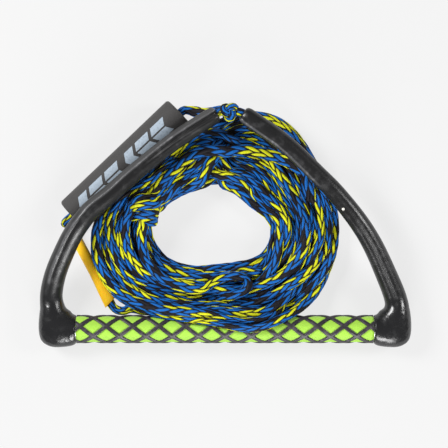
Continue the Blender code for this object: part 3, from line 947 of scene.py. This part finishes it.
# ---------------------------------------------------------------------------
# The arms: one soft black moulding at each end, with collar, elbow and arm in
# one piece. The elbow is glossy with sink marks and creases; the arm is satin,
# with a fine parting ridge on each shoulder and a groove down its upper face.
# ---------------------------------------------------------------------------
LEFT_ARM = [
    (-0.1785, -0.0677, 0.0200), (-0.1733, -0.0467, 0.0265), (-0.1646, -0.0270, 0.0340),
    (-0.1556, -0.0092, 0.0410), (-0.1464, 0.0043, 0.0462), (-0.1338, 0.0194, 0.0478),
    (-0.1152, 0.0340, 0.0478), (-0.0924, 0.0546, 0.0475), (-0.0583, 0.0822, 0.0470),
    (-0.0374, 0.0969, 0.0470), (-0.0076, 0.1154, 0.0470),
]
RIGHT_ARM = [
    (0.1739, -0.0682, 0.0200), (0.1644, -0.0466, 0.0260), (0.1507, -0.0181, 0.0350),
    (0.1337, 0.0082, 0.0430), (0.1109, 0.0360, 0.0465), (0.0968, 0.0502, 0.0470),
    (0.0718, 0.0749, 0.0470), (0.0551, 0.0893, 0.0470), (0.0344, 0.1038, 0.0470),
    (0.0176, 0.1154, 0.0470),
]
ELBOW_TOP = (0.178, -0.0826, 0.0155)
ELBOW_CORNER = (0.156, -0.0826)
ELBOW_FULLNESS = 0.07
ELBOW_REACH = (0.012, 0.037)
ARM_GRID = 0.0008
ARM_HALF_WIDTH = 0.0108
LEFT_RELIEF = [
    (0.34, 0.13, 0.0015, 0.05, 1.3), (0.70, 0.13, -0.0010, 0.45, 1.3), (0.02, 0.18, -0.0026, 0.70, 1.4),
]
RIGHT_RELIEF = [
    (-0.66, 0.12, 0.0015, 0.48, 1.4), (-0.25, 0.26, -0.0014, -0.1, 0.60), (0.80, 0.08, 0.0005, 0.30, 1.4),
]
RELIEF_FADE = 0.18
RELIEF_DEPTH = 0.004
RELIEF_STARTS = (-0.088, -0.072)
# Rise of a ridge at which its painted highlight is full.
RIDGE_HIGHLIGHT_RISE = 0.0013
# Where a small white dome sits on the right arm.
WHITE_DOT_SPOT = (0.1189, 0.0186)
WHITE_DOT_RADIUS = 0.0015
WHITE_DOT_DOME = 0.55
MOULDING_BLACK = ((0.008, 0.008, 0.0085, 1.0), (0.018, 0.018, 0.019, 1.0))
# Lighter colour painted on the ridge crests as a highlight.
MOULDING_RIDGE_HIGHLIGHT = (0.20, 0.20, 0.21, 1.0)
ELBOW_BLACK = (0.011, 0.011, 0.012, 1.0)


def along_ridge(across, passed, middle, width, height, first, last):
    """A ridge or a groove down the arm, faded in from first and out before last."""
    profile = np.exp(-(((across - middle) / width) ** 2))
    shown = eased(passed, (first, first + RELIEF_FADE)) * (1 - eased(passed, (last - RELIEF_FADE, last)))
    return height * profile * shown


def make_arm(node, name, route, relief, side):
    arm = copy_of(node, name)
    apply_modifier(arm, "SUBSURF", levels=1, render_levels=1)
    apply_modifier(arm, "REMESH", mode="VOXEL", voxel_size=ARM_GRID)
    apply_modifier(arm, "SMOOTH", factor=0.5, iterations=8)
    line = smooth_through([(side * ELBOW_TOP[0], *ELBOW_TOP[1:]), *route], 24)
    heading = np.gradient(line, axis=0)
    out = np.stack([heading[:, 1], -heading[:, 0], 0 * heading[:, 0]], 1) * side
    out /= np.linalg.norm(out, axis=1, keepdims=True)
    points = points_of(arm)
    gaps = [np.linalg.norm(points - place, axis=1) for place in line]
    nearest = np.argmin(gaps, axis=0)
    offset = points - line[nearest]
    passed = nearest / (len(line) - 1)
    across = (offset * out[nearest]).sum(1) / ARM_HALF_WIDTH
    corner_x = side * points[:, 0] - ELBOW_CORNER[0]
    corner_y = ELBOW_CORNER[1] - points[:, 1]
    corner_out = np.hypot(corner_x, corner_y)
    square = np.clip(corner_x, 0, None) * np.clip(corner_y, 0, None) / corner_out**2 * 2
    fuller = 1 + ELBOW_FULLNESS * square * eased(corner_out, ELBOW_REACH)
    points[:, 0] = side * (ELBOW_CORNER[0] + corner_x * fuller)
    points[:, 1] = ELBOW_CORNER[1] - corner_y * fuller
    on_top = np.clip(offset[:, 2] / RELIEF_DEPTH, 0, 1) * eased(points[:, 1], RELIEF_STARTS)
    rise = on_top * sum(along_ridge(across, passed, *row) for row in relief)
    points[:, 2] += rise
    move_points(arm, points)
    # Each point's share of the ridge rise, stored to place the painted highlight on the crests.
    wear_and_ridge_highlight = arm.data.attributes.new("wear_and_ridge_highlight", "FLOAT", "POINT")
    wear_and_ridge_highlight.data.foreach_set("value", np.clip(rise / RIDGE_HIGHLIGHT_RISE, 0, 1) ** 2)
    apply_modifier(arm, "SMOOTH", factor=0.5, iterations=3)
    return arm


def moulding_finish():
    """Soft black plastic: glossy and creased at the elbow, satin with long scuffs up the arm, and a
    painted highlight on the ridge crests.
    """
    finish = Finish("black_moulding")
    places = finish.places()
    _, y, _ = finish.split(places)
    elbow = 1 - finish.ramp(y, -0.085, -0.060)
    grain = finish.noise(places, 1400.0)
    lumps = finish.noise(places, 95.0, 1.5)
    creases = 1 - finish.ramp(abs(finish.noise(places, 60.0, 1.0) - 0.5), 0.0, 0.05)
    scuffs = finish.ramp(finish.noise(places, 130.0, 5.0), 0.48, 0.72)
    wear_and_ridge_highlight = finish.add("ShaderNodeAttribute", {"attribute_name": "wear_and_ridge_highlight"}).outputs["Fac"]
    colour = finish.blend(scuffs, *MOULDING_BLACK)
    # The ridge crests are painted lighter as a highlight, broken up by the scuffs.
    ridge_highlighted = finish.blend(Value(finish, wear_and_ridge_highlight) * (0.35 + 0.65 * scuffs), colour, MOULDING_RIDGE_HIGHLIGHT)
    finish.set(
        Base_Color=finish.blend(elbow, ridge_highlighted, ELBOW_BLACK),
        Roughness=0.32 + 0.12 * scuffs - 0.08 * elbow,
        Specular_IOR_Level=0.55,
    )
    finish.bump(elbow * (0.30 * lumps + 0.04 * creases) + 0.03 * grain + 0.02 * scuffs, 0.0022)
    return finish.material


def make_white_dot(arm):
    """A small white dome seated on the right arm's upper face."""
    start = Vector((WHITE_DOT_SPOT[0], WHITE_DOT_SPOT[1], 0.2))
    _, seat, normal, _ = arm.ray_cast(start, Vector((0, 0, -1)))
    deselect()
    bpy.ops.mesh.primitive_uv_sphere_add(
        segments=24, ring_count=12, radius=WHITE_DOT_RADIUS, location=seat,
        rotation=normal.to_track_quat("Z", "Y").to_euler(), scale=(1.0, 1.0, WHITE_DOT_DOME),
    )
    white_dot_piece = bpy.context.object
    white_dot_piece.name = "vent_plug"
    bpy.ops.object.transform_apply(location=True, rotation=True, scale=True)
    return white_dot_piece


moulding = moulding_finish()
for node, name, route, relief, side in (
    ("arm_left", "left_moulding", LEFT_ARM, LEFT_RELIEF, -1),
    ("arm_right", "right_moulding", RIGHT_ARM, RIGHT_RELIEF, 1),
):
    finish_piece(make_arm(node, name, route, relief, side), moulding, "handle", "moulding", node)
finish_piece(make_white_dot(bpy.data.objects["right_moulding"]), nylon, "handle", "moulding")


# ---------------------------------------------------------------------------
# The bridle rope carries the pull from the knot down one arm, through the bar
# and up the other arm. The line is hitched to its middle in a round knot,
# worked from the same braid as the line.
# ---------------------------------------------------------------------------
KNOT_CENTRE = np.array([0.0045, 0.1170, 0.0468])
KNOT_SIZE = (0.0021, 0.0022, 0.0032)
KNOT_ROPE = 0.0078
KNOT_REACH = 0.0070
ELBOW_TURN = (0.156, 0.022)


def bridle_path():
    halves = []
    centre, bend = ELBOW_TURN
    for route, side in ((LEFT_ARM, -1), (RIGHT_ARM, 1)):
        elbow = [
            (side * (centre + bend * math.sin(turn)), BAR_Y + bend * (1 - math.cos(turn)), BAR_Z)
            for turn in np.linspace(0, math.pi / 2, 5)
        ]
        start = KNOT_CENTRE + np.array([side * KNOT_REACH, 0, 0])
        halves.append([tuple(start), *reversed(route), *reversed(elbow)])
    return smooth_through([*halves[0], *reversed(halves[1])], 6)


def knot_path():
    """A closed three-lobed overhand knot, drawn tight into a ball."""
    turns = np.linspace(0, 2 * math.pi, 90)
    knot = np.stack([
        np.sin(turns) + 2 * np.sin(2 * turns),
        np.cos(turns) - 2 * np.cos(2 * turns),
        -1.2 * np.sin(3 * turns),
    ], 1)
    return KNOT_CENTRE + knot * np.array(KNOT_SIZE)


def plain_braid(name, path, diameter, flatness):
    squeeze = np.tile([0.1, 0.2, 1.0], (len(path), 1))
    flat = np.full(len(path), flatness)
    even = even_steps(path, squeeze, flat, BRAID_LEAD / RINGS_PER_LEAD * diameter / LINE_DIAMETER)
    return braided_tube(name, *even, diameter)


finish_piece(
    plain_braid("bridle_braid", bridle_path(), LINE_DIAMETER, 0.02), line_braid,
    "handle", "rope", "bridle_rope",
)
finish_piece(
    plain_braid("hitch_knot", knot_path(), KNOT_ROPE, 0.10), line_braid,
    "handle", "rope", "bridle_knot",
)


# ---------------------------------------------------------------------------
# The float: a charcoal foam cylinder with a bore for the line and eased rims.
# One side carries a pale printed pattern, here plain slanted bars.
# ---------------------------------------------------------------------------
FLOAT_RADIUS = 0.0185
FLOAT_BORE = 0.0052
FLOAT_RIM = 0.003
BORE_RIM = 0.001
ROUND_STEPS = 96
PRINT_HALF_HEIGHT = 0.0088
PRINT_FROM = 0.0125
PRINT_TO = 0.1420
BAR_PITCH = 0.0215
BAR_SLANT = 0.62
BAR_SHARE = 0.82
NARROWER = 0.30
SPLIT_HALF = 0.0009
CHARCOAL = ((0.020, 0.019, 0.019, 1.0), (0.050, 0.047, 0.046, 1.0))
PALE_INK = ((0.29, 0.36, 0.43, 1.0), (0.37, 0.44, 0.52, 1.0))


def rim_arc(x, r, radius, start, end):
    return [
        (x + radius * math.cos(angle), r + radius * math.sin(angle))
        for angle in np.linspace(math.radians(start), math.radians(end), 7)
    ]


def turned(name, profile, start, heading, steps):
    """Spins a closed profile of (distance along, radius) round its axis."""
    side = Vector((-heading[1], heading[0], 0.0))
    corners = [start + heading * along + side * radius for along, radius in profile]
    mesh = bpy.data.meshes.new(name)
    mesh.from_pydata(corners, [(i, (i + 1) % len(corners)) for i in range(len(corners))], [])
    piece = bpy.data.objects.new(name, mesh)
    bpy.context.scene.collection.objects.link(piece)
    use(piece)
    bpy.ops.object.mode_set(mode="EDIT")
    bpy.ops.mesh.select_all(action="SELECT")
    bpy.ops.mesh.spin(steps=steps, angle=2 * math.pi, center=start, axis=heading)
    bpy.ops.mesh.select_all(action="SELECT")
    bpy.ops.mesh.remove_doubles(threshold=0.00001)
    bpy.ops.mesh.normals_make_consistent(inside=False)
    bpy.ops.object.mode_set(mode="OBJECT")
    return piece


def make_float():
    end = FLOAT_LENGTH
    stations = [end - FLOAT_RIM - (end - 2 * FLOAT_RIM) * i / 24 for i in range(1, 24)]
    profile = [
        *rim_arc(BORE_RIM, FLOAT_BORE + BORE_RIM, BORE_RIM, 270, 180),
        *rim_arc(FLOAT_RIM, FLOAT_RADIUS - FLOAT_RIM, FLOAT_RIM, 180, 90),
        *((station, FLOAT_RADIUS) for station in reversed(stations)),
        *rim_arc(end - FLOAT_RIM, FLOAT_RADIUS - FLOAT_RIM, FLOAT_RIM, 90, 0),
        *rim_arc(end - BORE_RIM, FLOAT_BORE + BORE_RIM, BORE_RIM, 0, -90),
    ]
    return turned("line_float", profile, FLOAT_START, FLOAT_HEADING, ROUND_STEPS)


def float_finish():
    """Charcoal foam with a fine skin grain; the print is bars of pale ink in a rising slant."""
    finish = Finish("charcoal_foam", Sheen_Weight=0.1)
    places = finish.places()
    from_start = finish.add("ShaderNodeVectorMath", {"operation": "SUBTRACT"}, {0: places, 1: FLOAT_START})
    along = finish.measured(from_start.outputs[0], FLOAT_HEADING)
    side = Vector((-FLOAT_HEADING.y, FLOAT_HEADING.x, 0.0))
    across = finish.measured(from_start.outputs[0], side)
    _, _, z = finish.split(from_start.outputs[0])
    arc = across.math("ARCTAN2", across, z) * FLOAT_RADIUS
    grain = finish.noise(places, 1900.0, 3.0)
    cells = finish.noise(places, 520.0)
    slanted = (along + abs(arc) * BAR_SLANT) / BAR_PITCH
    number = slanted.math("FLOOR", slanted)
    part = slanted - number
    narrow = (number % 3.0) < 0.5
    inked = (part < BAR_SHARE - NARROWER * narrow) * (abs(arc) < PRINT_HALF_HEIGHT)
    split = 1 - (abs(arc) < SPLIT_HALF) * (1 - narrow)
    inside = (along > PRINT_FROM) * (along < PRINT_TO)
    ink = inked * inside * split * (0.86 + 0.14 * finish.ramp(cells, 0.35, 0.45))
    foam = finish.blend(grain, *CHARCOAL)
    pale = finish.blend(cells, *PALE_INK)
    finish.set(Base_Color=finish.blend(ink, foam, pale), Roughness=0.72 - 0.12 * ink)
    finish.bump(0.6 * grain + 0.6 * cells, 0.0004)
    return finish.material


finish_piece(make_float(), float_finish(), "float", "foam", "rope_float")


# ---------------------------------------------------------------------------
# The sleeve: a length of yellow vinyl tube round the line. Its lower end is
# cut at a slant and pressed flat and wide by use.
# ---------------------------------------------------------------------------
SLEEVE_RADIUS = 0.0056
SLEEVE_WALL = 0.0009
SLEEVE_STEPS = 48
FLARE_FROM = 0.55
FLARE = 0.28
FLATTENED = 0.16
END_SLANT = 0.45
YELLOW = ((0.80, 0.40, 0.006, 1.0), (0.92, 0.56, 0.015, 1.0))


def make_sleeve():
    count = 28
    outer = [(SLEEVE_LENGTH * i / count, SLEEVE_RADIUS) for i in range(count + 1)]
    inner = [(along, radius - SLEEVE_WALL) for along, radius in reversed(outer)]
    sleeve = turned("vinyl_sleeve", outer + inner, SLEEVE_START, SLEEVE_HEADING, SLEEVE_STEPS)
    points = points_of(sleeve)
    heading = np.array(SLEEVE_HEADING)
    side = np.array([-heading[1], heading[0], 0.0])
    start = np.array(SLEEVE_START)
    along = (points - start) @ heading
    across = (points - start) @ side
    share = eased(along / SLEEVE_LENGTH, (FLARE_FROM, 1.0))
    points += np.outer(across * FLARE * share, side)
    pressed = start[2] + (points[:, 2] - start[2]) * (1 - FLATTENED * share)
    points[:, 2] = np.where(points[:, 2] > start[2], pressed, points[:, 2])
    points += np.outer(-across * END_SLANT * share, heading)
    move_points(sleeve, points)
    apply_modifier(sleeve, "BEVEL", width=0.0002, segments=2, limit_method="ANGLE")
    return sleeve


def vinyl_finish():
    """Yellow vinyl, slightly cloudy, with faint lines from the extruder and a soft gloss."""
    finish = Finish("yellow_vinyl", Subsurface_Weight=0.12, Subsurface_Scale=0.004)
    places = finish.places()
    along = finish.measured(places, SLEEVE_HEADING)
    across = finish.measured(places, Vector((-SLEEVE_HEADING.y, SLEEVE_HEADING.x, 0.0)))
    lines = finish.noise(finish.join(along * 12.0, across * 900.0), 1.0)
    cloud = finish.noise(places, 90.0, 3.0)
    finish.set(
        Base_Color=finish.blend(cloud, *YELLOW),
        Roughness=0.30 + 0.18 * lines,
    )
    finish.bump(lines + 0.6 * cloud, 0.00015)
    return finish.material


finish_piece(make_sleeve(), vinyl_finish(), "sleeve", "sleeve", "line_sleeve")

deselect()
